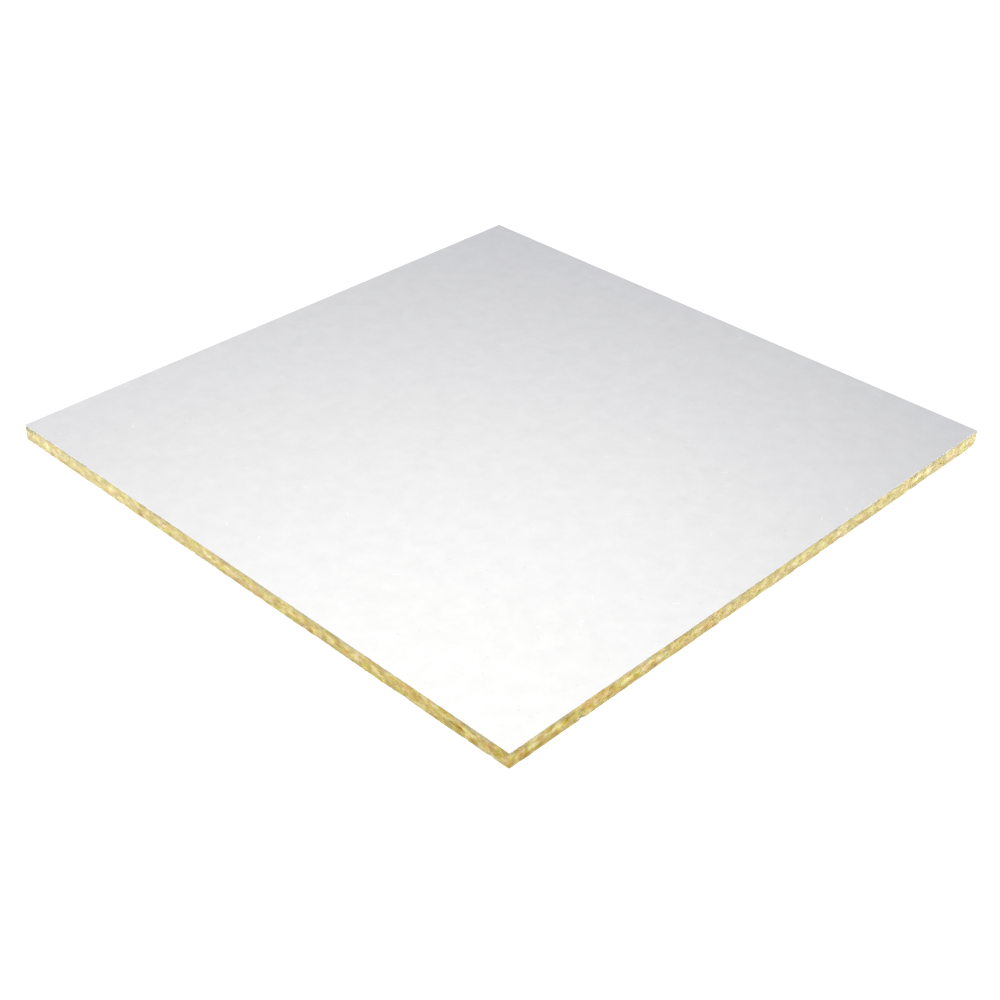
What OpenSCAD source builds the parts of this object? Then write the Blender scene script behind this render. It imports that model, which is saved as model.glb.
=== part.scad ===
// Lay-in ceiling tile: a pressed mineral-wool board with a white fleece bonded to its room face.
// Millimetres, +Z up. The tile lies on its back with the room face up, as it does on a bench,
// and the origin is the middle of the back face. In a ceiling it hangs the other way up, with
// the rim of the fleece resting on the flanges of the grid.

/* [Grid] */
// Centre distance of the grid's tees along X
module_x = 600; // [300:5:1200]
// Centre distance of the grid's tees along Y
module_y = 600; // [300:5:1200]
// How much smaller than one module the tile is sawn, both edges together
lay_in_play = 5; // [2:0.5:12]

/* [Board] */
// Thickness of the finished tile, wool and fleece together
tile_thickness = 15; // [10:0.5:40]
// Radius of the four upright corners, where the sawn wool has worn a little
corner_radius = 1; // [0.8:0.1:8]
// Radius of the arris all round the back face
back_arris_radius = 0.8; // [0.3:0.1:6]

/* [Fleece] */
// Thickness of the painted fleece
fleece_thickness = 0.5; // [0.2:0.05:1.5]
// Radius of the arris all round the room face
face_arris_radius = 0.3; // [0.05:0.05:1]

/* [Hidden] */
$fn = 64;

tile_x = module_x - lay_in_play;
tile_y = module_y - lay_in_play;
core_thickness = tile_thickness - fleece_thickness;

// An arris can be no rounder than the corner that it runs round, or the layer that it is on.
back_arris = min(back_arris_radius, corner_radius, core_thickness);
face_arris = min(face_arris_radius, corner_radius, fleece_thickness);

// Half section through the rim of a layer. X runs outwards from the axis of the upright corner
// to the sawn edge, Y runs up from the face whose arris is rounded.
module rim_section(thickness, arris) {
    intersection() {
        square([corner_radius, thickness]);
        union() {
            translate([corner_radius - arris, arris]) circle(arris);
            translate([0, arris]) square([corner_radius, thickness]);
            square([corner_radius - arris, thickness]);
        }
    }
}

// One straight edge of a layer: the rim section drawn out between two corner axes.
module straight_edge(length, thickness, arris) {
    rotate([90, 0, 0])
        linear_extrude(length, center = true)
            rim_section(thickness, arris);
}

// One upright corner of a layer: the rim section turned a quarter round its axis.
module round_corner(thickness, arris) {
    rotate_extrude(angle = 90)
        rim_section(thickness, arris);
}

// A whole layer of the tile: the field between the corner axes, with the rim carried all round it.
// It stands on its rounded face, with its middle on the Z axis.
module layer(thickness, arris) {
    field_x = tile_x - 2 * corner_radius;
    field_y = tile_y - 2 * corner_radius;

    translate([-field_x / 2, -field_y / 2, 0]) cube([field_x, field_y, thickness]);

    for (turn = [0, 180]) {
        rotate(turn) {
            translate([field_x / 2, 0, 0]) straight_edge(field_y, thickness, arris);
            translate([0, field_y / 2, 0]) rotate(90) straight_edge(field_x, thickness, arris);
            translate([field_x / 2, field_y / 2, 0]) round_corner(thickness, arris);
            translate([-field_x / 2, field_y / 2, 0]) rotate(90) round_corner(thickness, arris);
        }
    }
}

// Mineral-wool board, bare and yellow on its four sawn edges and its back.
module wool_core() {
    color("#dcc98a")
        layer(core_thickness, back_arris);
}

// White fleece over the whole room face, sawn flush with the board. Its rounded face is on top.
module face_fleece() {
    color("#f2f2f0")
        translate([0, 0, tile_thickness])
            mirror([0, 0, 1])
                layer(fleece_thickness, face_arris);
}

wool_core();
face_fleece();
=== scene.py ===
"""Dresses the lay-in ceiling tile: sawn mineral wool under a painted fleece, on a light table.

The board's surface is the plane of the saw cut pulled back by a relief of torn fibre. Wisps, loose
fibres and beads of slag stand in its four sawn edges, and a thin painted fleece lies on the room face.
Everything is in metres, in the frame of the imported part: the tile lies on its back at z = 0.
"""

import logging
import math
from dataclasses import dataclass, field
from enum import Enum, IntEnum
from typing import Any

import bpy
import numpy as np
from mathutils import Matrix, Vector


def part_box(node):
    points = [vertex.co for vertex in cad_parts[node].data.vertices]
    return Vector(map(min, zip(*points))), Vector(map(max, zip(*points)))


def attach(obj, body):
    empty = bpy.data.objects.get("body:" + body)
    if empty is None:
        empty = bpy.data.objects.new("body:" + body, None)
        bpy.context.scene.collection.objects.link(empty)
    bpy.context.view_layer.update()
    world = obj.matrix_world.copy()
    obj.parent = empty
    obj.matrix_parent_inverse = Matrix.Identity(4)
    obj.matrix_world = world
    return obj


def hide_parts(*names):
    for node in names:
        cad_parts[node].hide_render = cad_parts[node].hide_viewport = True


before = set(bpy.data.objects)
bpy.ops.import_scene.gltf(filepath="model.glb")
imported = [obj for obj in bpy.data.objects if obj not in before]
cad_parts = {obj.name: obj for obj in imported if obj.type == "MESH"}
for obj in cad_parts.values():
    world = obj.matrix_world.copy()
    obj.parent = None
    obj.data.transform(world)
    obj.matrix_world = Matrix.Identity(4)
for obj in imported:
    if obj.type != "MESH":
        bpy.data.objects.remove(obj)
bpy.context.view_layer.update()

Array = np.ndarray
Material = bpy.types.Material
Pair = tuple[float, float]
Piece = bpy.types.Object
Socket = bpy.types.NodeSocket
Tree = bpy.types.NodeTree
Triple = tuple[float, float, float]

MM = 0.001
BODY = "root"
WOOL_NODE = "wool_core"
FLEECE_NODE = "face_fleece"

# What a mesh carries: its flat map, each vertex's tint, which on the board is painted shade in the
# torn pits, and how far it faces down.
FLAT_MAP = "OFBake"
TINT = "tint"
BACK = "back"

# The sides of the tile in the order in which its rim is passed, counter-clockwise from above.
TANGENTS = np.array([[1, 0, 0], [0, 1, 0], [-1, 0, 0], [0, -1, 0]], float)
OUTWARDS = np.array([[0, -1, 0], [1, 0, 0], [0, 1, 0], [-1, 0, 0]], float)
UPWARDS = np.array([0, 0, 1], float)

CORNER_RADIUS = 1.0 * MM

# Boxes of the noise lattice along X, Y and Z before it repeats, more than the tile is long.
LATTICE = np.array([256, 256, 32])

# Free border of a cell on a flat map, over the cell's width.
CELL_MARGIN = 0.1


class Corner(Enum):
    """The upright corners, in the order in which the rim passes them, with their signs in X and Y."""

    LEFT = (-1, -1)
    FRONT = (1, -1)
    RIGHT = (1, 1)
    BACK = (-1, 1)


class Seed(IntEnum):
    """What picks each of the random patterns."""

    LAYERS = 11
    TUFTS = 12
    PITS = 13
    WISPS = 21
    FIBRES = 22
    WISP_PLACES = 31
    FIBRE_PLACES = 32
    WISP_TINTS = 41
    FIBRE_TINTS = 42
    BEAD_PLACES = 51
    BEAD_SIZES = 52
    FRAY = 61
    SWAY = 62
    DIMPLES = 63
    RAGGED_RIM = 64
    FRAY_PLACES = 65
    LOOSE = 66
    LOOSE_PLACES = 67


def linear(hex_colour: str) -> tuple[float, float, float, float]:
    """Turns an sRGB colour into linear light.

    Args:
        hex_colour: six hex digits after a #.

    Returns:
        Red, green and blue from 0 to 1, and an alpha of 1.
    """
    parts = np.array([int(hex_colour[i:i + 2], 16) for i in (1, 3, 5)]) / 255
    light = np.where(parts <= 0.04045, parts / 12.92, ((parts + 0.055) / 1.055) ** 2.4)
    return (*light.tolist(), 1.0)


def smooth(value: Array) -> Array:
    """Eases 0 to 1 by 3v^2 - 2v^3, and holds what lies outside."""
    held = np.clip(value, 0, 1)
    return held * held * (3 - 2 * held)


def lattice_noise(points: Array, cell_mm: Triple, seed: int) -> Array:
    """Value noise: a random height at each corner of a box lattice, blended smoothly in between.

    With q the point divided by the cell, the eight corners of q's box are weighed by f or 1 - f along
    each axis, f being the eased fraction of q, and their heights are summed.

    Args:
        points: places in metres, shape (..., 3).
        cell_mm: size of a lattice box along X, Y and Z.
        seed: picks the pattern.

    Returns:
        Heights from 0 to 1, shape (...).
    """
    heights = np.random.default_rng(seed).random(tuple(LATTICE))
    scaled = points / (np.array(cell_mm) * MM)
    whole = np.floor(scaled).astype(int)
    part = smooth(scaled - whole)
    total = np.zeros(points.shape[:-1])
    for corner in np.ndindex(2, 2, 2):
        place = (whole + corner) % LATTICE
        weight = np.where(corner, part, 1 - part).prod(axis=-1)
        total += weight * heights[place[..., 0], place[..., 1], place[..., 2]]
    return total


def end_to_end(*parts: Array) -> Array:
    """Puts grids of points into one list of vertices."""
    return np.concatenate([part.reshape(-1, 3) for part in parts])


def in_cells(count: int, shape: Array) -> Array:
    """Copies a flat shape into the cells of a square map, row by row.

    Args:
        count: number of copies.
        shape: places of its face corners from 0 to 1, shape (corners, 2).

    Returns:
        The same places in each copy's cell, shape (count, corners, 2).
    """
    side = math.ceil(math.sqrt(count))
    number = np.arange(count)
    cell = np.stack([number % side, number // side], axis=-1)
    return (cell[:, None] + CELL_MARGIN + (1 - 2 * CELL_MARGIN) * shape) / side


def make_piece(
    name: str,
    points: Array,
    faces: list[Array],
    material: Material,
    flat_map: Array,
    marks: dict[str, Array],
    rounded: bool = True,
) -> Piece:
    """Puts a finished surface into the scene as a piece that rides on the tile.

    Args:
        name: name of the piece.
        points: vertices, shape (..., 3).
        faces: arrays of vertex numbers, one row to a face.
        material: finish of the whole piece.
        flat_map: place of each face corner on the piece's flat map, in the order of the faces.
        marks: named values for each vertex, for the finishes that read them.
        rounded: whether its shading is smooth across its faces.

    Returns:
        The new object.
    """
    mesh = bpy.data.meshes.new(name)
    rows = [row for group in faces for row in group.tolist()]
    mesh.from_pydata(points.reshape(-1, 3).tolist(), [], rows)
    mesh.polygons.foreach_set("use_smooth", np.full(len(mesh.polygons), rounded))
    mesh.uv_layers.new(name=FLAT_MAP).uv.foreach_set("vector", flat_map.astype(np.float32).ravel())
    for mark, values in marks.items():
        attribute = mesh.attributes.new(mark, "FLOAT", "POINT")
        attribute.data.foreach_set("value", values.astype(np.float32))
    mesh.materials.append(material)
    mesh.update()
    piece = bpy.data.objects.new(name, mesh)
    bpy.context.scene.collection.objects.link(piece)
    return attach(piece, BODY)


def add_node(
    tree: Tree, kind: str, inputs: dict[str | int, Any], output: str = "", **settings: Any
) -> Socket | None:
    """Adds a shader node with its settings, and sets or links its inputs.

    Args:
        tree: node tree that gets the node.
        kind: type of the node, as Blender calls it after ShaderNode.
        inputs: for each input, by name or number, a plain value or the output socket that feeds it.
        output: name of the output that is wanted, if it isn't the first.
        settings: attributes of the node, which come before its inputs because they pick these.

    Returns:
        The output socket, or None if the node has none.
    """
    node = tree.nodes.new(f"ShaderNode{kind}")
    for name, value in settings.items():
        setattr(node, name, value)
    for key, value in inputs.items():
        named = [socket for socket in node.inputs if socket.enabled and socket.name == key]
        socket = named[0] if named else node.inputs[key]
        if isinstance(value, Socket):
            tree.links.new(value, socket)
        else:
            socket.default_value = value
    wanted = [socket for socket in node.outputs if socket.enabled and output in ("", socket.name)]
    return wanted[0] if wanted else None


def empty_material(name: str) -> Material:
    """Makes a material with no nodes in it yet.

    Args:
        name: name of the material.

    Returns:
        The material.
    """
    material = bpy.data.materials.new(name)
    material.use_nodes = True
    material.node_tree.nodes.clear()
    return material


def crossing_fibres(
    tree: Tree, place: Socket, width_mm: float, run: float, headings: tuple[Pair, ...]
) -> Socket:
    """Draws fibres that cross: for each heading a noise drawn out along it, of which the highest shows.

    Args:
        tree: node tree of the finish.
        place: coordinates of the surface.
        width_mm: width of a fibre.
        run: length of a fibre over its width.
        headings: tilt out of the plane of the face and turn in it, in radians.

    Returns:
        The socket of the height, from 0 between the fibres to 1 on the highest of them.
    """
    highest: float | Socket = 0.0
    for tilt, turn in headings:
        drawn_out = add_node(tree, "Mapping", {
            "Vector": place,
            "Rotation": (0, tilt, turn),
            "Scale": (run, 1, 1),
        }, vector_type="TEXTURE")
        noise = add_node(tree, "TexNoise", {
            "Vector": drawn_out,
            "Scale": 1 / (width_mm * MM),
            "Detail": 1.0,
        })
        highest = add_node(tree, "Math", {0: highest, 1: noise}, operation="MAXIMUM")
    return add_node(tree, "MapRange", {"Value": highest, "From Min": 0.5, "From Max": 0.78})


def patches(
    tree: Tree,
    place: Socket,
    size_mm: float,
    span: Pair,
    values: Pair = (0, 1),
    detail: float = 3.0,
    roughness: float = 0.5,
    channel: str = "",
) -> Socket:
    """Draws patches: a value that runs from one to another as a noise crosses a span.

    Args:
        tree: node tree of the finish.
        place: coordinates of the surface.
        size_mm: size of a patch.
        span: values of the noise between which it runs, which may be falling.
        values: what it runs from and to.
        detail: number of finer noises on top of the first.
        roughness: how much of each finer noise there is.
        channel: the colour channel of the noise that is read, if it isn't read as a whole.

    Returns:
        The socket of the value.
    """
    noise = add_node(tree, "TexNoise", {
        "Vector": place,
        "Scale": 1 / (size_mm * MM),
        "Detail": detail,
        "Roughness": roughness,
    }, "Color" if channel else "")
    if channel:
        noise = add_node(tree, "SeparateColor", {"Color": noise}, channel)
    return add_node(tree, "MapRange", {
        "Value": noise,
        "From Min": span[0],
        "From Max": span[1],
        "To Min": values[0],
        "To Max": values[1],
    })


@dataclass(frozen=True)
class MineralWool:
    """Stone wool, sawn: resin-bound mineral fibre that gives the eye a matt, blotchy straw yellow.

    The fibres lie in layers along the board, so the tones change more quickly through its thickness.
    Real fibres are a few thousandths of a millimetre thick; those drawn here are as coarse as they
    need to be to show. A vertex's tint makes it lighter or darker than its surroundings; on the board
    it is painted shade, darker down in the torn pits. Its back mark evens the tones on the pressed
    back, and keeps the painted veil of light and the painted shade of the lower arris off it.
    """

    # Blotches: three tones, and where in the noise each of the lighter two comes in
    ochre: str = "#C0AB50"
    straw: str = "#E0CF83"
    pale: str = "#F3E8C1"
    straw_span: Pair = (0.355, 0.5)
    pale_span: Pair = (0.5, 0.645)
    blotch_mm: float = 9.0
    layering: float = 1.7
    back_evenness: float = 0.5

    # Fibres, with their share in the tones
    fibre_mm: float = 0.4
    fibre_run: float = 8.0
    fibre_share: float = 0.2
    fibre_height_mm: float = 0.12
    headings: tuple[Pair, ...] = ((0.22, 0.1), (-0.3, -0.2), (0.25, 1.45), (-0.2, 1.8))

    # Binder, and how far hue and saturation sway
    binder: str = "#ECDEB0"
    binder_mm: float = 10.0
    binder_span: Pair = (0.4, 0.62)
    sway_mm: float = 10.0
    sway_span: Pair = (0.3, 0.7)
    hue_sway: float = 0.03
    saturation_sway: float = 0.22

    # Painted light and shade: a pale veil of painted light towards the far corners, the glue line with
    # painted shade under the fleece at the top, and painted shade along the bottom arris
    painted_pale_veil: str = "#D9D9BF"
    pale_veil_share: float = 0.35
    glue_and_shade: str = "#A39C7A"
    glue_and_shade_depth_mm: float = 5.5
    glue_and_shade_share: float = 0.82
    seep_and_shade_mm: float = 20.0
    seep_and_shade_share: float = 3.0
    painted_low_shade: str = "#A8A184"
    low_shade_height_mm: float = 6.0
    low_shade_share: float = 0.35
    patch_mm: float = 22.0
    patch_span: Pair = (0.38, 0.62)
    patch_shares: Pair = (0.2, 1.0)

    roughness: float = 0.95
    ior: float = 1.5
    sheen: float = 0.15

    def material(self, outline: "Outline", top: float) -> Material:
        """Builds the finish.

        Args:
            outline: plan of the tile, for the painted veil of light at its outer corners and the glue
                and painted shade at the left one.
            top: height of the glued face.

        Returns:
            The material.
        """
        material = empty_material("sawn_mineral_wool")
        tree = material.node_tree
        place = add_node(tree, "TexCoord", {}, "Object")
        layers = add_node(tree, "Mapping", {"Vector": place, "Scale": (1, 1, self.layering)})
        fibres = crossing_fibres(tree, place, self.fibre_mm, self.fibre_run, self.headings)
        colour = self.toned(tree, layers, fibres)
        colour = self.varied(tree, colour, layers)
        colour = self.worn(tree, colour, place, outline, top)
        bump = add_node(tree, "Bump", {
            "Height": fibres,
            "Strength": 0.4,
            "Distance": self.fibre_height_mm * MM,
        })
        surface = add_node(tree, "BsdfPrincipled", {
            "Base Color": colour,
            "Normal": bump,
            "Roughness": self.roughness,
            "IOR": self.ior,
            "Specular IOR Level": 0.2,
            "Sheen Weight": self.sheen,
            "Sheen Roughness": 0.6,
        })
        add_node(tree, "OutputMaterial", {"Surface": surface})
        return material

    def by_side(self, tree: Tree, on_edges: float, on_back: float) -> Socket:
        """A value that runs from one on the edges to another on the back."""
        back = add_node(tree, "Attribute", {}, "Fac", attribute_name=BACK)
        return add_node(tree, "MapRange", {"Value": back, "To Min": on_edges, "To Max": on_back})

    def toned(self, tree: Tree, layers: Socket, fibres: Socket) -> Socket:
        """Runs ochre into straw and straw into pale, by blotches, fibres and each vertex's tint, which
        on the board is painted shade in the pits, and yellows the patches that took up more of the
        binder, which filters what they give back.

        Args:
            tree: node tree of the finish.
            layers: coordinates of the surface, squeezed through the thickness.
            fibres: height of the fibres.

        Returns:
            The socket of the colour.
        """
        blotches = add_node(tree, "TexNoise", {
            "Vector": layers,
            "Scale": 1 / (self.blotch_mm * MM),
            "Detail": 4.0,
            "Roughness": 0.6,
        })
        drawn = add_node(tree, "Mix", {"Factor": self.fibre_share, "A": blotches, "B": fibres})
        evenness = self.by_side(tree, 0.0, self.back_evenness)
        evened = add_node(tree, "Mix", {"Factor": evenness, "A": drawn, "B": self.straw_span[1]})
        tint = add_node(tree, "Attribute", {}, "Fac", attribute_name=TINT)
        tone = add_node(tree, "Math", {0: evened, 1: tint}, operation="ADD")
        to_straw, to_pale = (
            add_node(tree, "MapRange", {"Value": tone, "From Min": low, "From Max": high})
            for low, high in (self.straw_span, self.pale_span)
        )
        elsewhere = add_node(tree, "Mapping", {"Vector": layers, "Location": (1, 1, 1)})
        soaked = patches(tree, elsewhere, self.binder_mm, self.binder_span, roughness=0.6)
        colour = linear(self.ochre)
        for share, coat, blend in (
            (to_straw, self.straw, "MIX"),
            (to_pale, self.pale, "MIX"),
            (soaked, self.binder, "MULTIPLY"),
        ):
            parts = {"Factor": share, "A": colour, "B": linear(coat)}
            colour = add_node(tree, "Mix", parts, data_type="RGBA", blend_type=blend)
        return colour

    def varied(self, tree: Tree, colour: Socket, layers: Socket) -> Socket:
        """Sways the hue between green and orange, and the saturation, by two channels of one noise.

        Args:
            tree: node tree of the finish.
            colour: the wool so far.
            layers: coordinates of the surface, squeezed through the thickness.

        Returns:
            The socket of the colour.
        """
        swayed = {"Color": colour}
        for name, channel, middle, sway in (
            ("Hue", "Red", 0.5, self.hue_sway),
            ("Saturation", "Green", 1.0, self.saturation_sway),
        ):
            swayed[name] = patches(
                tree, layers, self.sway_mm, self.sway_span, (middle - sway, middle + sway),
                detail=4.0, roughness=0.6, channel=channel,
            )
        return add_node(tree, "HueSaturation", swayed)

    def worn(self, tree: Tree, colour: Socket, place: Socket, outline: "Outline", top: float) -> Socket:
        """Lays painted light, painted shade and glue over the wool: a pale veil of painted light
        towards the left and right corners, where x + y is furthest from 0, painted shade along the
        lower arris, and under the fleece the glue line with painted shade below it, which reaches
        deeper and darker near the left corner.

        Args:
            tree: node tree of the finish.
            colour: the wool so far.
            place: coordinates of the surface.
            outline: plan of the tile.
            top: height of the glued face.

        Returns:
            The socket of the colour.
        """
        # Painted light: a pale veil that grows towards the left and right corners, where x + y is
        # furthest from 0.
        across = add_node(tree, "VectorMath", {0: place, 1: (1, 1, 0)}, operation="DOT_PRODUCT")
        pale_veil = add_node(tree, "MapRange", {
            "Value": add_node(tree, "Math", {0: across}, operation="ABSOLUTE"),
            "From Max": outline.half_x + outline.half_y,
            "To Max": self.by_side(tree, self.pale_veil_share, 0.0),
        })
        # Painted shade: the wool turns darker and greyer towards the lower arris, where shade falls.
        low_shade = self.by_side(tree, self.low_shade_share, 0.0)
        # The glue line under the fleece with painted shade below it, 5.5 mm deep, darkest near the left
        # corner.
        corner = (-outline.half_x, -outline.half_y, top)
        seep_and_shade = add_node(tree, "MapRange", {
            "Value": add_node(tree, "VectorMath", {0: place, 1: corner}, operation="DISTANCE"),
            "From Max": self.seep_and_shade_mm * MM,
            "To Min": self.seep_and_shade_share,
            "To Max": self.glue_and_shade_share,
        })
        for share, coat in (
            (pale_veil, self.painted_pale_veil),
            (self.by_arris(tree, place, (self.low_shade_height_mm * MM, 0), low_shade), self.painted_low_shade),
            (self.by_arris(tree, place, (top - self.glue_and_shade_depth_mm * MM, top), seep_and_shade), self.glue_and_shade),
        ):
            parts = {"Factor": share, "A": colour, "B": linear(coat)}
            colour = add_node(tree, "Mix", parts, data_type="RGBA")
        return colour

    def by_arris(self, tree: Tree, place: Socket, heights: Pair, most: Socket) -> Socket:
        """Share of a coat that grows towards an arris, more in some patches than in others.

        Args:
            tree: node tree of the finish.
            place: coordinates of the surface.
            heights: where the coat starts, and where it is deepest.
            most: its share in the deepest patches.

        Returns:
            The socket of the share.
        """
        depth = add_node(tree, "MapRange", {
            "Value": add_node(tree, "SeparateXYZ", {"Vector": place}, "Z"),
            "From Min": heights[0],
            "From Max": heights[1],
            "To Max": most,
        })
        patch = patches(tree, place, self.patch_mm, self.patch_span, self.patch_shares)
        return add_node(tree, "Math", {0: depth, 1: patch}, operation="MULTIPLY")


@dataclass(frozen=True)
class PaintedFleece:
    """Glass-fibre fleece, sprayed with matt emulsion: an even white with a faint, fibrous mottle.

    The fibres under the paint are about 0.01 mm thick; the streaks are drawn at a few tenths of a
    millimetre, as coarse as they need to be to show. The few pinholes, where the paint has not filled
    the fleece, are the lowest dips of a noise.
    """

    hollow: str = "#E7E7E7"
    white: str = "#EDEDED"
    pinhole: str = "#D2D2D2"
    mottle_mm: float = 17.0
    fibre_mm: float = 0.7
    fibre_run: float = 9.0
    fibre_share: float = 0.12
    fibre_height_mm: float = 0.02
    headings: tuple[Pair, ...] = ((0, 0.4), (0, 1.3), (0, 2.5))
    pinhole_mm: float = 2.6
    pinhole_span: Pair = (0.215, 0.13)
    pinhole_shares: Pair = (0.0, 0.5)
    roughness: float = 0.9
    ior: float = 1.5

    def material(self) -> Material:
        """Builds the finish.

        Returns:
            The material.
        """
        material = empty_material("painted_glass_fleece")
        tree = material.node_tree
        place = add_node(tree, "TexCoord", {}, "Object")
        mottle = add_node(tree, "TexNoise", {
            "Vector": place,
            "Scale": 1 / (self.mottle_mm * MM),
            "Detail": 4.0,
            "Roughness": 0.6,
        })
        fibres = crossing_fibres(tree, place, self.fibre_mm, self.fibre_run, self.headings)
        tone = add_node(tree, "Mix", {"Factor": self.fibre_share, "A": mottle, "B": fibres})
        spread = add_node(tree, "MapRange", {"Value": tone, "From Min": 0.3, "From Max": 0.7})
        dips = patches(
            tree, place, self.pinhole_mm, self.pinhole_span, self.pinhole_shares, detail=0.0
        )
        colour = linear(self.hollow)
        for share, coat in ((spread, self.white), (dips, self.pinhole)):
            parts = {"Factor": share, "A": colour, "B": linear(coat)}
            colour = add_node(tree, "Mix", parts, data_type="RGBA")
        bump = add_node(tree, "Bump", {
            "Height": fibres,
            "Strength": 0.5,
            "Distance": self.fibre_height_mm * MM,
        })
        surface = add_node(tree, "BsdfPrincipled", {
            "Base Color": colour,
            "Normal": bump,
            "Roughness": self.roughness,
            "IOR": self.ior,
            "Specular IOR Level": 0.25,
        })
        add_node(tree, "OutputMaterial", {"Surface": surface})
        return material


@dataclass(frozen=True)
class TintedFinish:
    """A plain finish in which the tint of each strand or bead picks its colour between two.

    Attributes:
        dull: colour at a tint of 0.
        bright: colour at a tint of 1.
        specular: strength of its gloss, 0.5 for what the index gives.
    """

    name: str
    dull: str
    bright: str
    roughness: float
    ior: float
    specular: float = 0.5

    def material(self) -> Material:
        """Builds the finish.

        Returns:
            The material.
        """
        material = empty_material(self.name)
        tree = material.node_tree
        tint = add_node(tree, "Attribute", {}, "Fac", attribute_name=TINT)
        parts = {"Factor": tint, "A": linear(self.dull), "B": linear(self.bright)}
        surface = add_node(tree, "BsdfPrincipled", {
            "Base Color": add_node(tree, "Mix", parts, data_type="RGBA"),
            "Roughness": self.roughness,
            "IOR": self.ior,
            "Specular IOR Level": self.specular,
        })
        add_node(tree, "OutputMaterial", {"Surface": surface})
        return material


# Glass fibre, drawn and not painted over: fine white threads, a little brighter than the paint.
GLASS_FIBRE = TintedFinish(
    "bare_glass_fibre", "#F0F0EF", "#FEFEFD", roughness=0.5, ior=1.55, specular=0.25
)
# Shot: drops of melt that cooled before they were drawn to fibre, small, dark and glassy.
SLAG = TintedFinish("slag_shot", "#5D4A2B", "#8F7644", roughness=0.35, ior=1.6)


@dataclass(frozen=True)
class Outline:
    """Plan of the tile: four sides passed counter-clockwise, each from one corner to the next."""

    half_x: float
    half_y: float

    def reach(self) -> tuple[Array, Array]:
        """Half the length of each side, and each side's distance from the middle."""
        half_length = np.array([self.half_x, self.half_y, self.half_x, self.half_y])
        return half_length, half_length[[1, 0, 3, 2]]

    def rounded(self, side: Array, along: Array, inset: Array, radius: Array) -> tuple[Array, Array]:
        """Points on the outline, drawn in by an inset, with its corners rounded.

        A point that is d from the corner along its side stands at an angle of 45 degrees times
        1 - d / r on the corner's arc of radius r, or at 0 on the straight where d is more than r.

        Args:
            side: number of each point's side.
            along: place along the side, from -1 to 1.
            inset: distance inside the outline.
            radius: radius of the corner nearest the point.

        Returns:
            The points at z = 0, and their outward directions, both of shape (..., 3).
        """
        half_length, distance = self.reach()
        end = half_length[side] - inset
        out = distance[side] - inset
        angle = math.pi / 4 * np.clip(1 - end * (1 - np.abs(along)) / radius, 0, 1)
        on_arc = angle > 0
        turned = np.sign(along) * (end - radius + radius * np.sin(angle))
        forward = np.where(on_arc, turned, along * end)
        outward = np.where(on_arc, out - radius + radius * np.cos(angle), out)
        points = forward[..., None] * TANGENTS[side] + outward[..., None] * OUTWARDS[side]
        lean = (np.sign(along) * np.sin(angle))[..., None]
        return points, lean * TANGENTS[side] + np.cos(angle)[..., None] * OUTWARDS[side]

    def strewn(
        self, chance: np.random.Generator, count: int, along: float, heights: Pair, inset: float = 0.0
    ) -> tuple[Array, Array, Array]:
        """Picks random places over the outline, as many on each side.

        Args:
            chance: picks them.
            count: number of places, a multiple of four.
            along: how far along a side they lie, where 1 is its end.
            heights: lowest and highest.
            inset: distance inside the outline.

        Returns:
            The number of each place's side, the point there and its outward direction.
        """
        side = np.repeat(np.arange(4), count // 4)
        spots = chance.uniform(-along, along, count)
        height = chance.uniform(*heights, count)
        points, facing = self.rounded(side, spots, np.full(count, inset), np.full(count, CORNER_RADIUS))
        return side, points + height[:, None] * UPWARDS, facing


@dataclass(frozen=True)
class RimProfile:
    """Section through a slab's rim, from one face round the edge to the other.

    Attributes:
        inset: distance of each point inside the outline.
        height: height of each point.
        out: outward part of the surface's direction there.
        up: upward part of that direction.
    """

    inset: Array
    height: Array
    out: Array
    up: Array

    @classmethod
    def eased_below(
        cls, thickness: float, arris: float, face_insets: Triple, arc_steps: int, edge_steps: int
    ) -> "RimProfile":
        """Draws a rim whose lower arris is a quarter circle and whose upper arris is sharp.

        Args:
            thickness: height of the slab.
            arris: radius of the lower arris.
            face_insets: insets of the rows that lie on each face, in metres, the outermost last.
            arc_steps: steps round the quarter circle.
            edge_steps: steps up the straight edge.

        Returns:
            The profile, which stands on z = 0.
        """
        face = np.array(face_insets)
        flat = np.zeros(len(face))
        turn = np.linspace(0, math.pi / 2, arc_steps + 1)
        rise = np.linspace(arris, thickness, edge_steps + 1)[1:]
        edge = np.zeros(edge_steps)
        return cls(
            np.concatenate([face + arris, arris - arris * np.sin(turn), edge, face[::-1]]),
            np.concatenate([flat, arris - arris * np.cos(turn), rise, flat + thickness]),
            np.concatenate([flat, np.sin(turn), edge + 1, flat]),
            np.concatenate([flat - 1, -np.cos(turn), edge, flat + 1]),
        )

    def turned_over(self, thickness: float) -> "RimProfile":
        """The same rim upside down, still passed from below to above."""
        inset, height, out, up = (part[::-1] for part in (self.inset, self.height, self.out, self.up))
        return RimProfile(inset, thickness - height, out, -up)

    def girth(self) -> Array:
        """Length of the section up to each of its points."""
        steps = np.hypot(np.diff(self.inset), np.diff(self.height))
        return np.concatenate([[0], np.cumsum(steps)])


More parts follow.
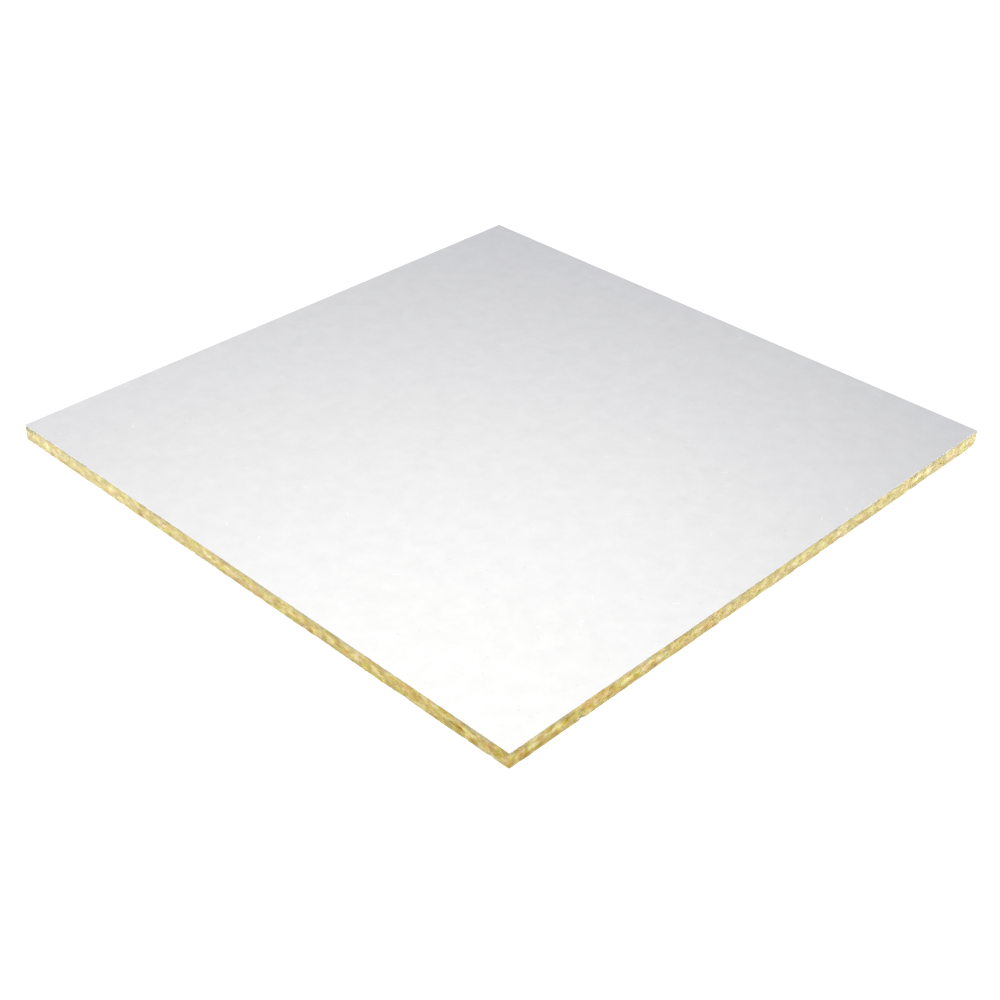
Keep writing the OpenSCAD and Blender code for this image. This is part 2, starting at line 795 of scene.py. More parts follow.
@dataclass(frozen=True)
class Slab:
    """Closed slab: a finely divided rim, joined by fans of triangles to a coarser grid on each face.

    Attributes:
        low_every: steps of the rim to one step of the lower face's grid.
        high_every: the same for the upper face.
        fine: steps along each side of the rim.
    """

    outline: Outline
    low_every: int
    high_every: int
    fine: int = 600

    # On the flat map: side of the face that shows, gap between parts, side of the face that does not
    MAP_SQUARE = 0.85
    MAP_MARGIN = 0.006
    MAP_HIDDEN = 0.12

    # What is left of a corner's radius in the rows that lie far in on a face
    LEAST_RADIUS = 0.05 * MM

    def path(self) -> tuple[Array, Array]:
        """Side of each point round the rim, and its place along that side from -1 to 1."""
        step = np.arange(4 * self.fine)
        return step // self.fine, 2 * (step % self.fine) / self.fine - 1

    def rim(self, profile: RimProfile, radius: Array) -> tuple[Array, Array]:
        """Carries the profile round the outline.

        Args:
            profile: section of the rim.
            radius: corner radius for each row and each point round the rim.

        Returns:
            Points and outward directions, both of shape (rows, points round the rim, 3).
        """
        side, along = self.path()
        inset = profile.inset[:, None]
        left = np.maximum(radius - inset, self.LEAST_RADIUS)
        points, outwards = self.outline.rounded(side, along, inset, left)
        points = points + profile.height[:, None, None] * UPWARDS
        facing = profile.out[:, None, None] * outwards + profile.up[:, None, None] * UPWARDS
        return points, facing

    def face(self, every: int, inset: float, height: float) -> Array:
        """Points of the grid over a face.

        Args:
            every: steps of the rim to one step of the grid.
            inset: distance of the grid's border inside the outline.
            height: height of the face.

        Returns:
            The points, X first, shape (steps, steps, 3).
        """
        steps = np.linspace(-1, 1, self.fine // every + 1)
        reach = (self.outline.half_x - inset, self.outline.half_y - inset)
        x, y = np.meshgrid(steps * reach[0], steps * reach[1], indexing="ij")
        return np.stack([x, y, np.full_like(x, height)], axis=-1)

    @staticmethod
    def border(grid: Array) -> Array:
        """Vertex numbers round the border of a face's grid, in the order of the rim."""
        return np.concatenate([grid[:-1, 0], grid[-1, :-1], grid[:0:-1, -1], grid[0, :0:-1]])

    @staticmethod
    def fan(inner: Array, outer: Array, every: int) -> Array:
        """Triangles between a coarse ring and the fine ring round it, facing down.

        Each fine step goes to the nearer coarse point, and each coarse step to the fine point
        between the two.

        Args:
            inner: vertex numbers of the coarse ring.
            outer: vertex numbers of the fine ring.
            every: fine steps to one coarse step.

        Returns:
            Vertex numbers, one row to a triangle.
        """
        step = np.arange(len(outer))
        nearer = inner[(step + every - every // 2) // every % len(inner)]
        spokes = np.stack([nearer, np.roll(outer, -1), outer], axis=-1)
        between = outer[np.arange(len(inner)) * every + every // 2]
        bridges = np.stack([inner, np.roll(inner, -1), between], axis=-1)
        return np.concatenate([spokes, bridges])

    @staticmethod
    def quads(grid: Array) -> Array:
        """Faces between the neighbours in a grid of vertex numbers, each passed along its row first."""
        corners = (grid[:-1, :-1], grid[:-1, 1:], grid[1:, 1:], grid[1:, :-1])
        return np.stack(corners, axis=-1).reshape(-1, 4)

    def faces(self, rows: int) -> list[Array]:
        """Faces of the slab: rim, lower grid, upper grid, lower fan and upper fan.

        Args:
            rows: number of points in the rim's profile.

        Returns:
            Vertex numbers, where the vertices are the rim row by row, then the two grids.
        """
        rim = np.arange(rows * 4 * self.fine).reshape(rows, -1)
        low_side = self.fine // self.low_every + 1
        high_side = self.fine // self.high_every + 1
        low = rim.size + np.arange(low_side ** 2).reshape(low_side, -1)
        high = rim.size + low.size + np.arange(high_side ** 2).reshape(high_side, -1)
        return [
            self.quads(np.concatenate([rim, rim[:, :1]], axis=1)),
            self.quads(low),
            self.quads(high)[:, [0, 3, 2, 1]],
            self.fan(self.border(low), rim[0], self.low_every),
            self.fan(self.border(high), rim[-1], self.high_every)[:, ::-1],
        ]

    def flat_map(self, points: Array, profile: RimProfile, low_shows: bool) -> Array:
        """Lays the slab out flat: the face that shows as a large square, the four edges as strips
        beside it at the same scale, and the face that is glued away as a small square.

        Args:
            points: all vertices.
            profile: section of the rim.
            low_shows: whether the lower face is the one that shows.

        Returns:
            A place from 0 to 1 for each face corner, in the order of the faces.
        """
        _, low, high, low_fan, high_fan = self.faces(len(profile.inset))
        girth = profile.girth()
        scale = self.MAP_SQUARE / (2 * self.outline.half_x)
        strip = girth[-1] * scale + self.MAP_MARGIN
        column = np.arange(4 * self.fine) + np.array([[0], [1], [1], [0]])
        row = np.arange(len(girth) - 1)[:, None, None] + np.array([0, 0, 1, 1])
        first = np.arange(4 * self.fine) // self.fine
        across = 1 - self.MAP_MARGIN - strip * (4 - first[None, :, None]) + girth[row] * scale
        upward = self.MAP_MARGIN + (column.T - first[:, None] * self.fine) / self.fine * self.MAP_SQUARE
        edges = np.stack(np.broadcast_arrays(across, upward[None]), axis=-1).reshape(-1, 2)

        plan = points[:, :2] / (2 * np.array([self.outline.half_x, self.outline.half_y])) + 0.5
        large = self.MAP_MARGIN + plan * self.MAP_SQUARE
        small = plan * self.MAP_HIDDEN + (self.MAP_MARGIN, 1 - self.MAP_MARGIN - self.MAP_HIDDEN)
        below, above = (large, small) if low_shows else (small, large)
        groups = [below[low], above[high], below[low_fan], above[high_fan]]
        return np.concatenate([edges, *(group.reshape(-1, 2) for group in groups)])


@dataclass(frozen=True)
class WoolBoard:
    """The sawn mineral-wool board, with its edges torn by the saw and its lower corners worn.

    Attributes:
        corner_radius: radius of the upright corners at the top.
        worn_radius: radius that each upright corner has worn to at the bottom.
        crushed: how far each lower corner has been pushed up.
        stand: how far the highest fibre stands in front of the plane of the cut.
        pit_shade: painted shade, how much darker the wool is as deep down as a pit goes.
        strewn_along: how far along the sides things stand in the edges, from the middle.
        strewn_high: how low and how high they stand, over the thickness.
    """

    outline: Outline
    thickness: float
    arris: float = 0.8 * MM
    corner_radius: float = CORNER_RADIUS
    worn_radius: dict[Corner, float] = field(default_factory=lambda: {
        Corner.LEFT: 1.0 * MM,
        Corner.FRONT: 1.0 * MM,
        Corner.RIGHT: 3.0 * MM,
        Corner.BACK: 1.5 * MM,
    })
    crushed: dict[Corner, float] = field(default_factory=lambda: {
        Corner.RIGHT: 1.6 * MM,
        Corner.BACK: 0.4 * MM,
    })
    crush_reach: float = 7 * MM
    stand: float = 0.25 * MM
    layer_mm: Triple = (9.0, 9.0, 2.5)
    layer_depth: float = 0.3 * MM
    tuft_mm: Triple = (3.2, 3.2, 1.8)
    tuft_depth: float = 0.24 * MM
    pit_mm: Triple = (8.0, 8.0, 3.5)
    pit_from: float = 0.7
    pit_depth: float = 0.9 * MM
    pit_shade: float = 0.15
    strewn_along: float = 0.992
    strewn_high: Pair = (0.04, 0.97)

    def torn(self, points: Array) -> Array:
        """Depth of the torn relief: layers, plus tufts, plus a pit where a third noise is high.

        Args:
            points: places on the planes of the cut.

        Returns:
            The depth at each.
        """
        layers = lattice_noise(points, self.layer_mm, Seed.LAYERS)
        tufts = lattice_noise(points, self.tuft_mm, Seed.TUFTS)
        pits = lattice_noise(points, self.pit_mm, Seed.PITS)
        pit = smooth((pits - self.pit_from) / (1 - self.pit_from))
        return self.layer_depth * layers + self.tuft_depth * tufts + self.pit_depth * pit

    def lifted(self, points: Array) -> Array:
        """Pushes up the wool at each crushed corner, by a bell curve of the distance from it that
        fades to nothing at the top, and keeps all of it above the table.

        Args:
            points: places on the surface.

        Returns:
            The same places, pushed up.
        """
        rise = np.zeros(points.shape[:-1])
        for corner, amount in self.crushed.items():
            away = points[..., :2] - np.array(corner.value) * (self.outline.half_x, self.outline.half_y)
            rise += amount * np.exp(-(away ** 2).sum(axis=-1) / self.crush_reach ** 2)
        rise *= np.clip(1 - points[..., 2] / self.thickness, 0, 1)
        return np.maximum(points + rise[..., None] * UPWARDS, (-np.inf, -np.inf, 0))

    def surface(self, points: Array, facing: Array) -> Array:
        """Moves points of the cut planes out by the stand less their torn depth, and lifts them."""
        return self.lifted(points + (self.stand - self.torn(points))[..., None] * facing)

    def scattered(self, count: int, seed: int) -> tuple[Array, Array]:
        """Picks random places on the torn edges, as many on each side.

        Args:
            count: number of places, a multiple of four.
            seed: picks the pattern.

        Returns:
            The number of each place's side, and the point there.
        """
        chance = np.random.default_rng(seed)
        heights = (self.strewn_high[0] * self.thickness, self.strewn_high[1] * self.thickness)
        side, points, facing = self.outline.strewn(chance, count, self.strewn_along, heights)
        return side, self.surface(points, facing)

    def corner_radii(self, slab: Slab, profile: RimProfile) -> Array:
        """Corner radius for each row and rim point, eased from the worn one at the bottom to the sound
        one at half the height.

        Args:
            slab: the board's slab.
            profile: section of its rim.

        Returns:
            The radii, shape (rows, points round the rim).
        """
        side, along = slab.path()
        worn = np.array([self.worn_radius[corner] for corner in Corner])
        nearest = worn[(side + (along > 0)) % len(Corner)]
        sound = smooth(2 * profile.height / self.thickness)[:, None]
        return nearest + (self.corner_radius - nearest) * sound

    def build(self, wool: Material) -> Piece:
        """Makes the board as one closed surface.

        Args:
            wool: its finish.

        Returns:
            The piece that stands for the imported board.
        """
        slab = Slab(self.outline, low_every=4, high_every=20)
        profile = RimProfile.eased_below(
            self.thickness, self.arris, face_insets=(3 * MM, 2 * MM, MM), arc_steps=4, edge_steps=18
        )
        rim, facing = slab.rim(profile, self.corner_radii(slab, profile))
        low = slab.face(slab.low_every, inset=6.5 * MM, height=0.0)
        high = slab.face(slab.high_every, inset=12 * MM, height=self.thickness)
        glued = (profile.up > 0)[:, None, None]
        plane = end_to_end(rim, low, high)
        ways = end_to_end(facing * ~glued, np.broadcast_to(-UPWARDS, low.shape), np.zeros_like(high))
        points = self.surface(plane, ways)
        # Painted shade: the wool is darker down in the torn pits, where shade falls.
        shade = -self.pit_shade * self.torn(plane) / self.pit_depth
        piece = make_piece(
            "wool_board",
            points,
            slab.faces(len(profile.inset)),
            wool,
            slab.flat_map(points, profile, low_shows=True),
            {TINT: shade, BACK: np.maximum(-ways[:, 2], 0)},
        )
        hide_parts(WOOL_NODE)
        return piece


@dataclass(frozen=True)
class Strands:
    """A crop of short tapering tubes that lie on a surface or stand out of it.

    Attributes:
        count: number of tubes.
        length: shortest and longest.
        radius: thinnest and thickest.
        rings: cross-sections along a tube.
        corners: corners of a cross-section.
        flatness: depth of a cross-section over its width.
        rooted: whether a tube starts in the surface; otherwise its middle lies on it.
        rise: least and most angle out of the surface, in degrees.
        stray: usual angle off its run, in degrees.
        bow: usual bend across its run and out of the surface, over its length.
        seed: picks the pattern.
    """

    count: int
    length: Pair
    radius: Pair
    rings: int
    corners: int
    flatness: float
    rooted: bool
    rise: Pair
    stray: float
    bow: Pair
    seed: int

    # How much thinner a rooted tube is at its tip, and how far short of a point the others end
    TAPER = 0.6
    BLUNT = 0.06

    # Flatness up to which a tube is a ribbon, shaded flat
    RIBBON = 0.2

    # On the flat map: radius of a tube's ends, and how far they lie from the middle of its cell
    MAP_END = 0.04
    MAP_APART = 0.46

    def tubes(self, roots: Array, runs: Array, normals: Array) -> Array:
        """Works out all the tubes at once.

        A tube's line is root + heading * length * s + bow * s^2, with s from 0 at its root to 1 at its
        tip, or from -1/2 to 1/2 where its middle lies on the surface. Its cross-sections are ellipses
        that taper to the tip, or to both ends.

        Args:
            roots: one point on the surface for each tube.
            runs: a direction in the surface that each tube roughly follows.
            normals: direction out of the surface.

        Returns:
            Vertices of shape (tubes, rings, corners, 3).
        """
        chance = np.random.default_rng(self.seed)
        aside = np.cross(normals, runs)
        stray = np.radians(chance.normal(0, self.stray, (self.count, 1)))
        rise = np.radians(chance.uniform(*self.rise, (self.count, 1)))
        way = chance.choice([-1.0, 1.0], (self.count, 1))
        lying = way * np.cos(stray) * runs + np.sin(stray) * aside
        heading = np.cos(rise) * lying + np.sin(rise) * normals
        length = chance.uniform(*self.length, (self.count, 1))
        bend = chance.normal(0, self.bow, (self.count, 2))
        bow = length * (bend[:, :1] * aside + bend[:, 1:] * normals)
        radius = chance.uniform(*self.radius, self.count)

        share = np.linspace(0, 1, self.rings)
        run = share if self.rooted else share - 0.5
        swell = np.sqrt(np.sin(math.pi * (self.BLUNT + (1 - 2 * self.BLUNT) * share)))
        taper = 1 - self.TAPER * share if self.rooted else swell
        straight = run[:, None] * (heading * length)[:, None]
        line = roots[:, None] + straight + (run ** 2)[:, None] * bow[:, None]
        across = np.cross(heading, normals)
        across /= np.linalg.norm(across, axis=1, keepdims=True)
        inward = np.cross(heading, across)
        angle = 2 * math.pi * np.arange(self.corners) / self.corners
        ring = (
            np.cos(angle)[None, :, None] * across[:, None]
            + self.flatness * np.sin(angle)[None, :, None] * inward[:, None]
        )
        thick = radius[:, None] * taper
        return line[:, :, None] + thick[:, :, None, None] * ring[:, None]

    def faces(self) -> list[Array]:
        """Faces of the tubes.

        Returns:
            Vertex numbers of their walls, their root ends and their tips.
        """
        shape = (self.count, self.rings, self.corners)
        number = np.arange(np.prod(shape)).reshape(shape)
        after = np.roll(number, -1, axis=2)
        walls = np.stack([number[:, :-1], after[:, :-1], after[:, 1:], number[:, 1:]], axis=-1)
        return [walls.reshape(-1, 4), number[:, 0, ::-1], number[:, -1]]

    def flat_map(self) -> Array:
        """Gives each tube a cell of its own on a square map, unrolled, with its ends beside it.

        Returns:
            A place from 0 to 1 for each face corner, in the order of the faces.
        """
        corner = np.arange(self.corners)
        ring = np.arange(self.rings - 1)
        round_it = (corner[:, None] + np.array([0, 1, 1, 0])) / self.corners
        along = (ring[:, None] + np.array([0, 0, 1, 1])) / (self.rings - 1)
        walls = np.stack(np.broadcast_arrays(round_it[None], along[:, None]), axis=-1).reshape(-1, 2)
        turn = 2 * math.pi * corner / self.corners
        disc = 0.5 + self.MAP_END * np.stack([np.cos(turn), np.sin(turn)], axis=-1)
        groups = (walls, disc[::-1] - (0, self.MAP_APART), disc + (0, self.MAP_APART))
        return np.concatenate([in_cells(self.count, group).reshape(-1, 2) for group in groups])

    def build(self, name: str, points: Array, tints: Array, material: Material) -> Piece:
        """Makes the crop as one piece.

        Args:
            name: name of the piece.
            points: vertices of the tubes.
            tints: one tint to a tube.
            material: finish of the tubes.

        Returns:
            The piece.
        """
        marks = {TINT: np.repeat(tints, self.rings * self.corners)}
        rounded = self.flatness > self.RIBBON
        return make_piece(name, points, self.faces(), material, self.flat_map(), marks, rounded)


@dataclass(frozen=True)
class EdgeWool:
    """What the saw left standing in the four edges: wisps, loose fibres and beads of slag.

    Attributes:
        proud: how far a strand may stand out of the outline.
        clear: how far it stays above the table.
        lighter: how much lighter than the board the strands are.
        own_tint: how much they usually differ.
    """

    board: WoolBoard
    wisps: Strands = Strands(
        count=1800, length=(3 * MM, 9 * MM), radius=(0.09 * MM, 0.22 * MM), rings=7, corners=4,
        flatness=0.35, rooted=False, rise=(-2, 2), stray=22, bow=(0.35, 0.02), seed=Seed.WISPS,
    )
    fibres: Strands = Strands(
        count=8800, length=(1.5 * MM, 5.5 * MM), radius=(0.04 * MM, 0.08 * MM), rings=4, corners=3,
        flatness=1.0, rooted=True, rise=(1, 8), stray=32, bow=(0.25, 0.03), seed=Seed.FIBRES,
    )
    proud: float = 0.8 * MM
    clear: float = 0.05 * MM
    lighter: float = 0.04
    own_tint: float = 0.06
    bead_count: int = 240
    bead_radius: Pair = (0.12 * MM, 0.32 * MM)

    def build(self, wool: Material, slag: Material) -> list[Piece]:
        """Makes the three pieces.

        Args:
            wool: finish of the strands.
            slag: finish of the beads.

        Returns:
            The pieces.
        """
        made = []
        for name, strands, places, tinting in (
            ("wool_wisps", self.wisps, Seed.WISP_PLACES, Seed.WISP_TINTS),
            ("loose_fibres", self.fibres, Seed.FIBRE_PLACES, Seed.FIBRE_TINTS),
        ):
            side, roots = self.board.scattered(strands.count, places)
            points = self.held(strands.tubes(roots, TANGENTS[side], OUTWARDS[side]))
            tints = np.random.default_rng(tinting).normal(self.lighter, self.own_tint, strands.count)
            made.append(strands.build(name, points, tints, wool))
        made.append(self.beads(slag))
        return made

    def held(self, tubes: Array) -> Array:
        """Shifts each strand, whole, until none of it is far outside the edges, or above or below them.

        Args:
            tubes: vertices of the strands.

        Returns:
            The shifted vertices.
        """
        out_x = self.board.outline.half_x + self.proud
        out_y = self.board.outline.half_y + self.proud
        lowest = tubes.min(axis=(1, 2), keepdims=True)
        highest = tubes.max(axis=(1, 2), keepdims=True)
        short = np.maximum((-out_x, -out_y, self.clear) - lowest, 0)
        over = np.maximum(highest - (out_x, out_y, self.board.thickness), 0)
        return tubes + short - over

    def beads(self, slag: Material) -> Piece:
        """Makes the beads of slag, each an octahedron with its middle on the torn edge.

        Args:
            slag: their finish.

        Returns:
            The piece.
        """
        count = self.bead_count
        _, middles = self.board.scattered(count, Seed.BEAD_PLACES)
        chance = np.random.default_rng(Seed.BEAD_SIZES)
        radius = chance.uniform(*self.bead_radius, count)
        tips = np.array([[1, 0, 0], [-1, 0, 0], [0, 1, 0], [0, -1, 0], [0, 0, 1], [0, 0, -1]])
        upper = np.array([[0, 2, 4], [2, 1, 4], [1, 3, 4], [3, 0, 4]])
        lower = upper[:, [1, 0, 2]] + (0, 0, 1)
        around = np.concatenate([upper, lower])
        points = middles[:, None] + radius[:, None, None] * tips
        numbers = len(tips) * np.arange(count)[:, None, None] + around
        triangle = np.array([[0, 0], [1, 0], [0.5, 1]])
        piece = make_piece(
            "slag_beads",
            points,
            [numbers.reshape(-1, 3)],
            slag,
            in_cells(count, np.tile(triangle, (len(around), 1))),
            {TINT: np.repeat(chance.random(count), len(tips))},
        )
        return piece


@dataclass(frozen=True)
class FleeceFace:
    """The painted fleece over the room face, cut with the board and a little uneven at its rim.

    Attributes:
        bottom: height of the glued side.
        fray_along: how far along the sides the frayed fibres stand, from the middle.
        fray_high: how low and how high they stand, over the thickness.
        loose_within: how far from the middle the loose fibres lie, over the way to the edges.
        seen: places on the face, in millimetres, of those that show most.
        seen_turn: the way that these lie, in degrees from X.
    """

    outline: Outline
    bottom: float
    thickness: float
    arris: float = 0.3 * MM
    corner_radius: float = CORNER_RADIUS
    sway_mm: float = 95.0
    sway_depth: float = 0.1 * MM
    dimple_mm: float = 7.0
    dimple_depth: float = 0.04 * MM
    ragged_mm: float = 3.0
    ragged_depth: float = 0.2 * MM
    fray: Strands = Strands(
        count=1200, length=(0.8 * MM, 2.6 * MM), radius=(0.04 * MM, 0.07 * MM), rings=4, corners=3,
        flatness=1.0, rooted=True, rise=(2, 14), stray=24, bow=(0.12, 0.05), seed=Seed.FRAY,
    )
    fray_along: float = 0.995
    fray_high: Pair = (0.1, 0.7)
    loose: Strands = Strands(
        count=120, length=(2 * MM, 6 * MM), radius=(0.22 * MM, 0.42 * MM), rings=6, corners=4,
        flatness=0.15, rooted=False, rise=(0, 0), stray=0, bow=(0.15, 0), seed=Seed.LOOSE,
    )
    loose_within: float = 0.97
    seen: tuple[Triple, ...] = ((-164, -220, 0), (-175, -244, 0), (-178, -147, 0))
    seen_turn: float = 44

    def uneven(self, points: Array, cell_mm: float, seed: int) -> Array:
        """Noise over the plan of the tile, the same at any height."""
        return lattice_noise(points * (1, 1, 0), (cell_mm, cell_mm, cell_mm), seed)

    def sunk(self, points: Array) -> Array:
        """Depth of the face below its plane: a slow sway of the board and the fleece's dimples."""
        sway = self.sway_depth * self.uneven(points, self.sway_mm, Seed.SWAY)
        return sway + self.dimple_depth * self.uneven(points, self.dimple_mm, Seed.DIMPLES)

    def ragged(self, points: Array) -> Array:
        """Depth of the cut rim behind the outline."""
        return self.ragged_depth * self.uneven(points, self.ragged_mm, Seed.RAGGED_RIM)

    def build(self, paint: Material, glass: Material, board: Piece) -> list[Piece]:
        """Makes the fleece, the fibres that have frayed from its rim and those that lie loose on it.

        Args:
            paint: finish of the fleece.
            glass: finish of the fibres.
            board: piece that the fleece is glued to; not used.

        Returns:
            The three pieces.
        """
        slab = Slab(self.outline, low_every=20, high_every=3)
        profile = RimProfile.eased_below(
            self.thickness, self.arris, face_insets=(2 * MM, MM, 0.4 * MM), arc_steps=4, edge_steps=2
        ).turned_over(self.thickness)
        radius = np.full((len(profile.inset), 4 * slab.fine), self.corner_radius)
        rim, facing = slab.rim(profile, radius)
        upper = (profile.up > 0)[:, None]
        rim = rim - (self.ragged(rim) * profile.out[:, None])[..., None] * facing
        rim = rim - (self.sunk(rim) * upper)[..., None] * UPWARDS
        low = slab.face(slab.low_every, inset=12 * MM, height=0.0)
        high = slab.face(slab.high_every, inset=5 * MM, height=self.thickness)
        high = high - self.sunk(high)[..., None] * UPWARDS
        points = end_to_end(rim, low, high)
        sheet = make_piece(
            "fleece_sheet",
            points + self.bottom * UPWARDS,
            slab.faces(len(profile.inset)),
            paint,
            slab.flat_map(points, profile, low_shows=False),
            {},
        )
        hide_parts(FLEECE_NODE)
        fibres = [self.frayed(glass), self.strewn(glass)]
        return [sheet, *fibres]

    def frayed(self, glass: Material) -> Piece:
        """Makes the short white fibres that stand out of the cut rim, none of them above the face.

        Args:
            glass: their finish.

        Returns:
            The piece.
        """
        count = self.fray.count
        chance = np.random.default_rng(Seed.FRAY_PLACES)
        heights = (
            self.bottom + self.fray_high[0] * self.thickness,
            self.bottom + self.fray_high[1] * self.thickness,
        )
        inset = 0.5 * self.ragged_depth
        side, roots, _ = self.outline.strewn(chance, count, self.fray_along, heights, inset)
        points = self.fray.tubes(roots, TANGENTS[side], OUTWARDS[side])
        over = points[..., 2].max(axis=(1, 2)) - self.bottom - self.thickness
        points -= np.maximum(over, 0)[:, None, None, None] * UPWARDS
        piece = self.fray.build("fleece_fray", points, chance.random(count), glass)
        return piece

    def strewn(self, glass: Material) -> Piece:
        """Makes the few fibres that lie loose on the face, most of them at random places and turns.

        Args:
            glass: their finish.

        Returns:
            The piece.
        """
        count = self.loose.count
        chance = np.random.default_rng(Seed.LOOSE_PLACES)
        within = chance.uniform(-self.loose_within, self.loose_within, (count, 3))
        roots = within * (self.outline.half_x, self.outline.half_y, 0)
        roots[:len(self.seen)] = np.array(self.seen) * MM
        roots += (self.bottom + self.thickness - self.sunk(roots))[:, None] * UPWARDS
        turn = chance.uniform(0, math.pi, count)
        turn[:len(self.seen)] = math.radians(self.seen_turn)
        runs = np.stack([np.cos(turn), np.sin(turn), np.zeros(count)], axis=-1)
        points = self.loose.tubes(roots, runs, np.broadcast_to(UPWARDS, roots.shape))
        piece = self.loose.build("loose_glass_fibres", points, chance.random(count), glass)
        return piece


@dataclass(frozen=True)
class Studio:
    """A light table under the tile, one near soft box, a white room and the camera.

    Attributes:
        azimuth: way round to the camera, in degrees, from in front of the -Y side.
        elevation: angle of the camera above the table, in degrees.
        roll: turn of the camera about its line of sight, in degrees.
        distance: from the camera to its aim, a point on the room face.
        lens: focal length in millimetres, as is the width of the sensor.
        soft_box: middle of the soft box, which faces its own aim on the table.
        table_drop: how far the table lies below the tile.
        glow_near: strength of the table's glow at glow_centre.
        glow_far: its strength from glow_reach on.
        glow_seen: what the camera sees of it.
        shade_share: share of the glow that is left at the tile's edges.
        shade_reach: how far from them all of it is back.
    """

    azimuth: float = 44.006
    elevation: float = 34.057
    roll: float = 0.8775
    distance: float = 1.40696
    lens: float = 61.2444
    sensor: float = 36.0
    aim: Triple = (0.078065, -0.083392, 0.015)
    soft_box: Triple = (0.3, -0.327, 0.762)
    soft_box_aim: Triple = (-0.4, -0.503, 0.0)
    soft_box_size: float = 0.7
    soft_box_watts: float = 5.8
    soft_box_white: str = "#FFFEF6"
    room_strength: float = 0.553
    room_white: str = "#F5F6FF"
    table_white: str = "#959595"
    table_half: float = 12.0
    table_drop: float = 0.2 * MM
    glow_near: float = 1.27
    glow_far: float = 2.42
    glow_seen: float = 0.92
    glow_centre: Triple = (0.2975, -0.2975, 0.0)
    glow_reach: float = 0.6
    shade_share: float = 0.62
    shade_reach: float = 20 * MM

    def build(self, outline: Outline) -> None:
        """Sets up the camera, the light and the table.

        Args:
            outline: plan of the tile that lies on the table.
        """
        self.camera()
        self.key_light()
        self.room()
        self.table(outline)
        bpy.context.scene.view_settings.view_transform = "Standard"

    def camera(self) -> None:
        """Stands the camera off its aim along the line of sight, then rolls it about that line."""
        turn, tilt = math.radians(self.azimuth), math.radians(self.elevation)
        back = Vector((
            math.sin(turn) * math.cos(tilt), -math.cos(turn) * math.cos(tilt), math.sin(tilt)
        ))
        right = Vector((math.cos(turn), math.sin(turn), 0))
        axes = Matrix((right, back.cross(right), back)).transposed()
        rolled = axes @ Matrix.Rotation(math.radians(self.roll), 3, "Z")
        data = bpy.data.cameras.new("camera")
        data.lens = self.lens
        data.sensor_width = self.sensor
        camera = bpy.data.objects.new("camera", data)
        camera.matrix_world = Matrix.LocRotScale(Vector(self.aim) + self.distance * back, rolled, None)
        bpy.context.scene.collection.objects.link(camera)
        bpy.context.scene.camera = camera

    def key_light(self) -> None:
        """Hangs the soft box near the front corner, so that the face darkens away from it."""
        data = bpy.data.lights.new("soft_box", "AREA")
        data.size = self.soft_box_size
        data.energy = self.soft_box_watts
        data.color = linear(self.soft_box_white)[:3]
        light = bpy.data.objects.new("soft_box", data)
        middle = Vector(self.soft_box)
        turned = (Vector(self.soft_box_aim) - middle).to_track_quat("-Z", "Y")
        light.matrix_world = Matrix.LocRotScale(middle, turned, None)
        light.visible_camera = False
        bpy.context.scene.collection.objects.link(light)

    def room(self) -> None:
        """Lights the room evenly and a little coolly, and shows it as plain white behind the table."""
        world = bpy.data.worlds.new("white_room")
        world.use_nodes = True
        tree = world.node_tree
        tree.nodes.clear()
        seen = add_node(tree, "LightPath", {}, "Is Camera Ray")
        lit = [self.room_strength * part for part in linear(self.room_white)[:3]]
        parts = {"Factor": seen, "A": (*lit, 1), "B": (1, 1, 1, 1)}
        light = add_node(tree, "Background", {"Color": add_node(tree, "Mix", parts, data_type="RGBA")})
        add_node(tree, "OutputWorld", {"Surface": light})
        bpy.context.scene.world = world

    def shaded(self, tree: Tree, place: Socket, outline: Outline) -> Socket:
        """Share of the glow that is left beside the tile: least at its edges, all a little way off.

        Args:
            tree: node tree of the table.
            place: coordinates on the table.
            outline: plan of the tile.

        Returns:
            The socket of the share.
        """
        half = (outline.half_x, outline.half_y, 0)
        apart = add_node(tree, "VectorMath", {0: place}, operation="ABSOLUTE")
        beyond = add_node(tree, "VectorMath", {0: apart, 1: half}, operation="SUBTRACT")
        outside = add_node(tree, "VectorMath", {0: beyond, 1: (0, 0, 0)}, operation="MAXIMUM")
        return add_node(tree, "MapRange", {
            "Value": add_node(tree, "VectorMath", {0: outside}, operation="LENGTH"),
            "From Max": self.shade_reach,
            "To Min": self.shade_share,
        }, interpolation_type="SMOOTHSTEP")

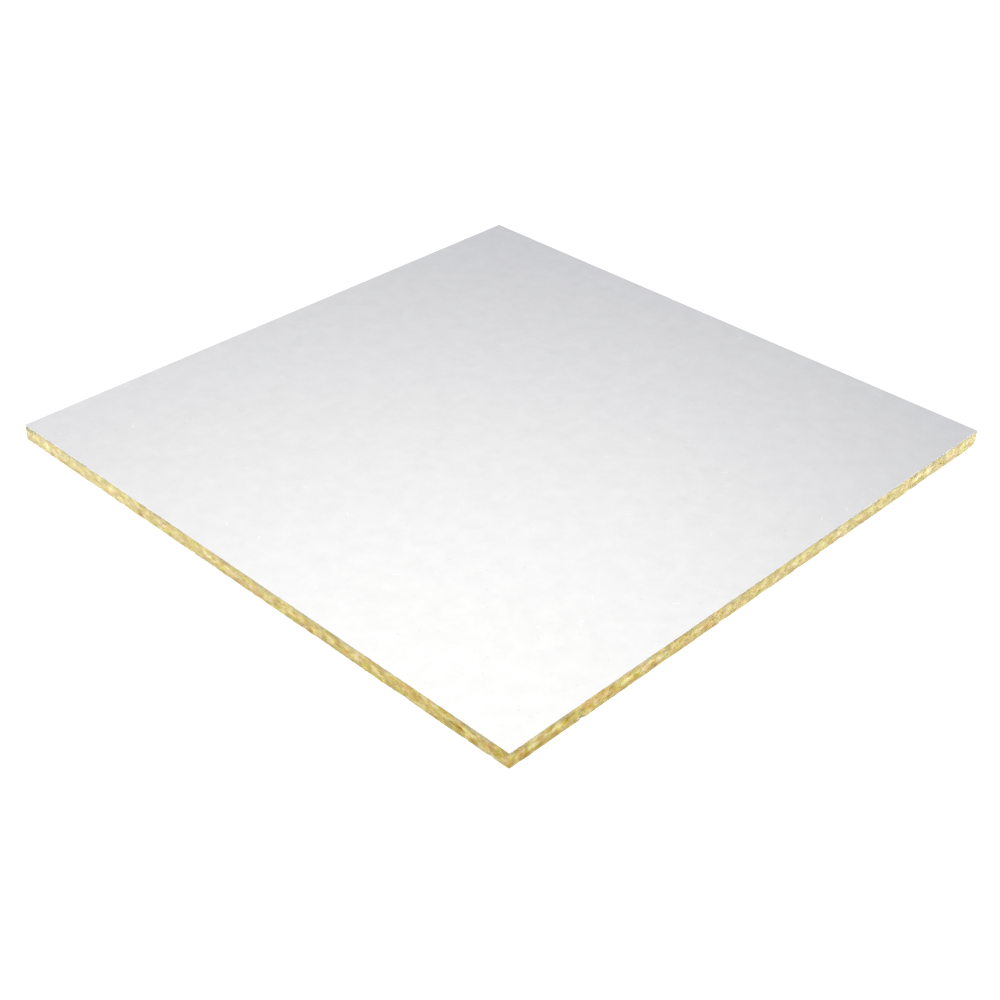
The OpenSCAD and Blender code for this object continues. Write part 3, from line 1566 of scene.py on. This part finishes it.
    def table(self, outline: Outline) -> None:
        """Lays the light table: a matt plane that glows, more so away from the front corner and less so
        beside the tile, and that the camera sees as plain white.

        Args:
            outline: plan of the tile.
        """
        mesh = bpy.data.meshes.new("light_table")
        signs = [corner.value for corner in Corner]
        corners = [(x * self.table_half, y * self.table_half, -self.table_drop) for x, y in signs]
        mesh.from_pydata(corners, [], [(0, 1, 2, 3)])
        material = empty_material("opal_light_table")
        tree = material.node_tree
        place = add_node(tree, "TexCoord", {}, "Object")
        away = add_node(tree, "VectorMath", {0: place, 1: self.glow_centre}, operation="DISTANCE")
        glow = add_node(tree, "MapRange", {
            "Value": away,
            "From Max": self.glow_reach,
            "To Min": self.glow_near,
            "To Max": self.glow_far,
        })
        share = self.shaded(tree, place, outline)
        dimmed = add_node(tree, "Math", {0: glow, 1: share}, operation="MULTIPLY")
        seen = add_node(tree, "LightPath", {}, "Is Camera Ray")
        shown = add_node(tree, "Mix", {"Factor": seen, "A": dimmed, "B": self.glow_seen})
        surface = add_node(tree, "BsdfPrincipled", {
            "Base Color": linear(self.table_white),
            "Roughness": 0.8,
            "Specular IOR Level": 0.1,
            "Emission Color": (1, 1, 1, 1),
            "Emission Strength": shown,
        })
        add_node(tree, "OutputMaterial", {"Surface": surface})
        mesh.materials.append(material)
        table = bpy.data.objects.new("light_table", mesh)
        bpy.context.scene.collection.objects.link(table)


def report(pieces: list[Piece]) -> None:
    """Logs each piece's name and number of faces."""
    for piece in pieces:
        logging.info("%s: %d faces", piece.name, len(piece.data.polygons))


def main() -> None:
    """Builds the studio and the tile's pieces in order."""
    logging.basicConfig(level=logging.INFO, format="%(message)s")
    wool_low, wool_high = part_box(WOOL_NODE)
    fleece_low, fleece_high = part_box(FLEECE_NODE)
    outline = Outline(wool_high.x, wool_high.y)
    Studio().build(outline)

    board = WoolBoard(outline, wool_high.z - wool_low.z)
    wool = MineralWool().material(outline, board.thickness)

    board_piece = board.build(wool)
    report([board_piece])
    report(EdgeWool(board).build(wool, SLAG.material()))
    fleece = FleeceFace(outline, fleece_low.z, fleece_high.z - fleece_low.z)
    report(fleece.build(PaintedFleece().material(), GLASS_FIBRE.material(), board_piece))


if __name__ == "__main__":
    main()
